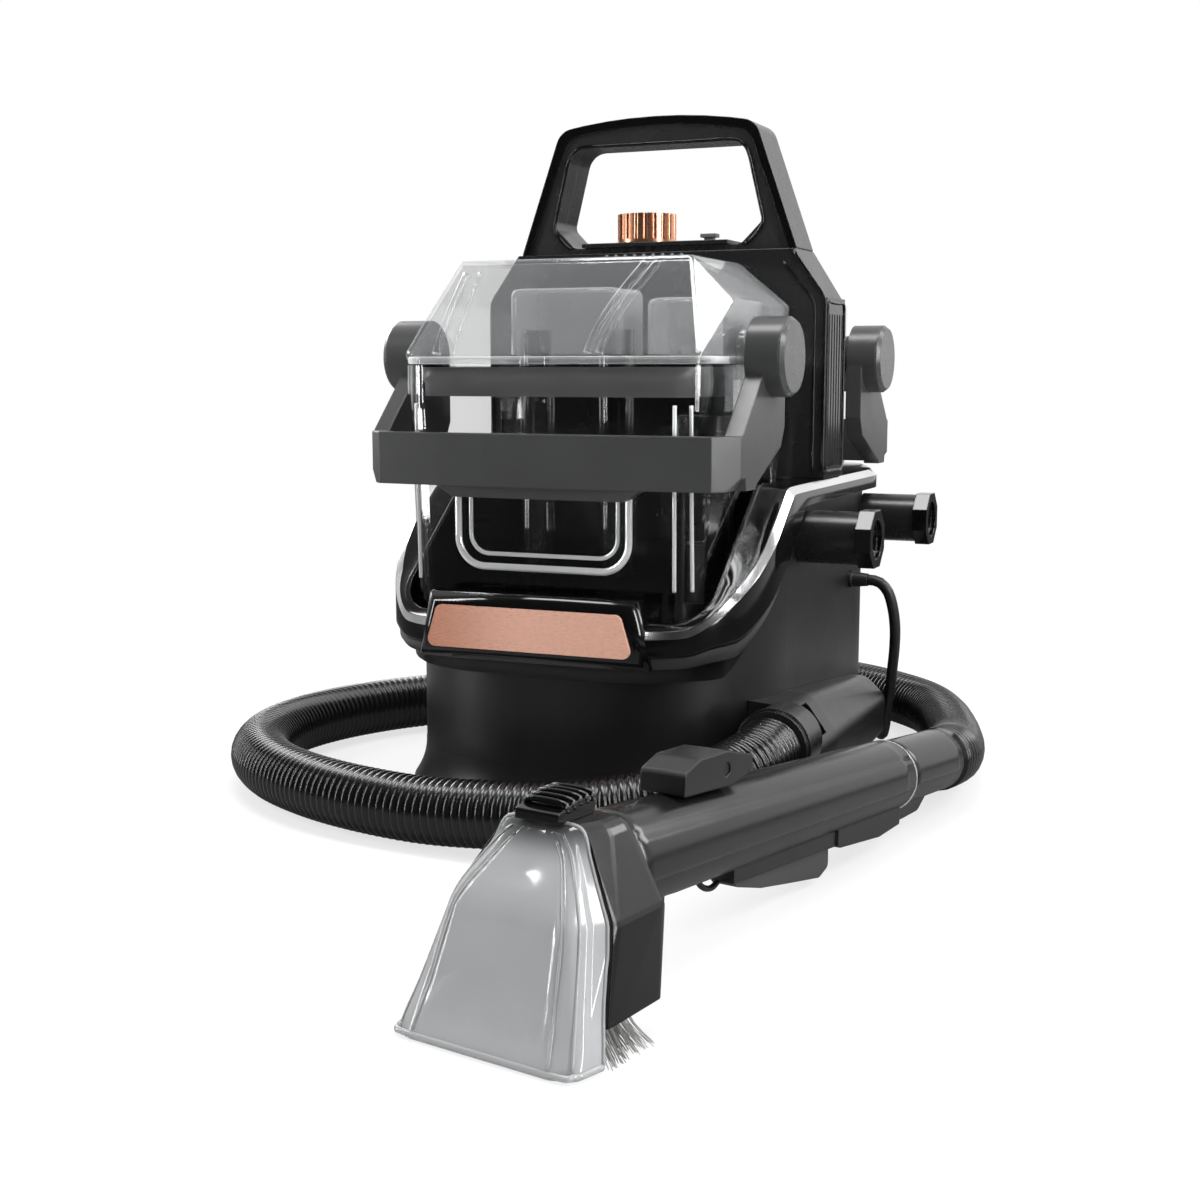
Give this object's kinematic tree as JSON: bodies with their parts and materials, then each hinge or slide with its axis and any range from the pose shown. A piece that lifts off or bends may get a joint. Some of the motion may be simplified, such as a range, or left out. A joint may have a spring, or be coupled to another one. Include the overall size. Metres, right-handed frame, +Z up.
{
  "type": "portable spot extractor",
  "caption": "Portable spot-cleaning machine with two lift-off tanks on swinging bails, a fixed carry handle, a mode dial, a suction hose and a hand wand with a clear nozzle",
  "frame": {"origin": "on the floor, in the plane of the rubber foot ring, under the middle of the base casing", "axes": "+Z up, +Y to the back of the machine, +X to its right-hand side, where the cord posts and the hose connector are"},
  "size_m": [0.448, 0.8224, 0.4],
  "materials": {
    "black_matte": "fine moulded texture",
    "black_gloss": "high gloss",
    "black_satin": "satin",
    "grey_satin": "satin",
    "grey_light": "satin",
    "band_grey": "satin",
    "copper": "satin rose copper",
    "clear": "clear moulded",
    "clear_smoke": "smoky clear moulded",
    "wand_charcoal": "satin",
    "hose_black": "satin corrugated",
    "rubber_black": "matte",
    "cord_black": "matte",
    "bristle": "soft fibres",
    "metal": "plated",
    "motor_metal": "cast",
    "board": "lacquered",
    "float_grey": "satin",
    "white_part": "satin"
  },
  "bodies": {
    "base": {"foot_ring": "rubber_black", "bottom_plate": "black_matte", "base_shell": "black_matte", "hose_housing": "black_matte", "trim_band": "black_gloss", "name_plate": "copper", "tank_deck": "black_gloss", "wrap_post_front": "black_satin", "wrap_post_rear": "black_satin", "post_cap_front": "black_gloss", "post_cap_rear": "black_gloss", "hose_cuff": "black_satin", "cord_relief": "rubber_black", "spine_front_shell": "black_satin", "spine_rear_shell": "black_satin", "rib_panel_left": "black_satin", "rib_panel_right": "black_satin", "handle_front_shell": "black_satin", "handle_rear_shell": "black_satin", "handle_bezel": "black_gloss", "top_deck": "black_satin", "vacuum_motor": "motor_metal", "water_pump": "white_part", "heater_block": "motor_metal", "control_board": "board", "case_screws": "metal", "hose": "hose_black", "power_cord": "cord_black", "cord_coil": "cord_black", "plug": "cord_black"},
    "fan": {"fan_impeller": "motor_metal"},
    "dial": {"mode_dial": "copper"},
    "power": {"power_button": "grey_satin"},
    "front_tank": {"front_tank_shell": "clear", "tank_ring": "band_grey", "float_cage": "black_satin"},
    "float": {"tank_float": "float_grey"},
    "lid": {"front_tank_lid": "clear", "lid_plate": "clear", "inlet_tubes": "clear"},
    "front_bail": {"front_bail": "grey_satin", "front_bail_caps": "grey_light"},
    "rear_tank": {"rear_tank_shell": "clear", "rear_tank_frame": "band_grey", "rear_tank_valve": "black_satin"},
    "fill_cap": {"fill_cap": "black_satin"},
    "rear_bail": {"rear_bail": "grey_satin", "rear_bail_caps": "grey_light"},
    "wand": {"wand_barrel": "wand_charcoal", "tail_cuff": "wand_charcoal"},
    "latch": {"latch_lever": "grey_satin"},
    "trigger": {"wand_trigger": "grey_light"},
    "release": {"release_button": "grey_light"},
    "tool": {"tool_shell": "grey_satin", "tool_window": "clear_smoke", "tool_clip": "black_gloss", "brush_block": "grey_satin", "bristles": "bristle"}
  },
  "joints": [
    {"name": "fan_spin", "type": "hinge", "parent": "base", "child": "fan", "pos_m": [0, 0.084, 0.12], "axis": [0, 0, 1], "continuous": true},
    {"name": "dial_turn", "type": "hinge", "parent": "base", "child": "dial", "pos_m": [-0.012, 0.013, 0.33], "axis": [0, 0, 1], "range_deg": [-60, 60]},
    {"name": "power_press", "type": "slide", "parent": "base", "child": "power", "axis": [0, 0, -1], "range_m": [0, 0.0018], "stiffness_N_per_m": 300, "springref_m": -0.0005},
    {"name": "front_tank_lift", "type": "slide", "parent": "base", "child": "front_tank", "axis": [0, 0, 1], "range_m": [0, 0.25]},
    {"name": "float_rise", "type": "slide", "parent": "front_tank", "child": "float", "axis": [0, 0, 1], "range_m": [0, 0.07]},
    {"name": "lid_lift", "type": "slide", "parent": "front_tank", "child": "lid", "axis": [0, 0, 1], "range_m": [0, 0.13]},
    {"name": "front_bail_swing", "type": "hinge", "parent": "front_tank", "child": "front_bail", "pos_m": [0, -0.107, 0.2534], "axis": [-1, 0, 0], "range_deg": [0, 158]},
    {"name": "rear_tank_lift", "type": "slide", "parent": "base", "child": "rear_tank", "axis": [0, 0, 1], "range_m": [0, 0.2]},
    {"name": "cap_lift", "type": "slide", "parent": "rear_tank", "child": "fill_cap", "axis": [0, 0, 1], "range_m": [0, 0.03]},
    {"name": "rear_bail_swing", "type": "hinge", "parent": "rear_tank", "child": "rear_bail", "pos_m": [0, 0.101, 0.2534], "axis": [1, 0, 0], "range_deg": [0, 164]},
    {"name": "wand_lift", "type": "hinge", "parent": "base", "child": "wand", "pos_m": [0.1963, -0.0702, 0.04867], "axis": [-0.9803, 0.1977, 0], "range_deg": [0, 25]},
    {"name": "latch_rock", "type": "hinge", "parent": "wand", "child": "latch", "pos_m": [0.14696, -0.31491, 0.07722], "axis": [-0.9803, 0.1977, 0], "range_deg": [0, 7], "stiffness_Nm_per_rad": 0.4, "springref_deg": -5.73},
    {"name": "trigger_squeeze", "type": "hinge", "parent": "wand", "child": "trigger", "pos_m": [0.15148, -0.29245, 0.03105], "axis": [0.9803, -0.1977, 0], "range_deg": [0, 4], "stiffness_Nm_per_rad": 0.6, "springref_deg": -5.73},
    {"name": "release_press", "type": "slide", "parent": "wand", "child": "release", "axis": [0.0134, 0.0667, 0.9977], "range_m": [0, 0.0025], "stiffness_N_per_m": 300, "springref_m": -0.001},
    {"name": "tool_pull", "type": "slide", "parent": "wand", "child": "tool", "axis": [-0.1972, -0.978, 0.068], "range_m": [0, 0.06]}
  ]
}
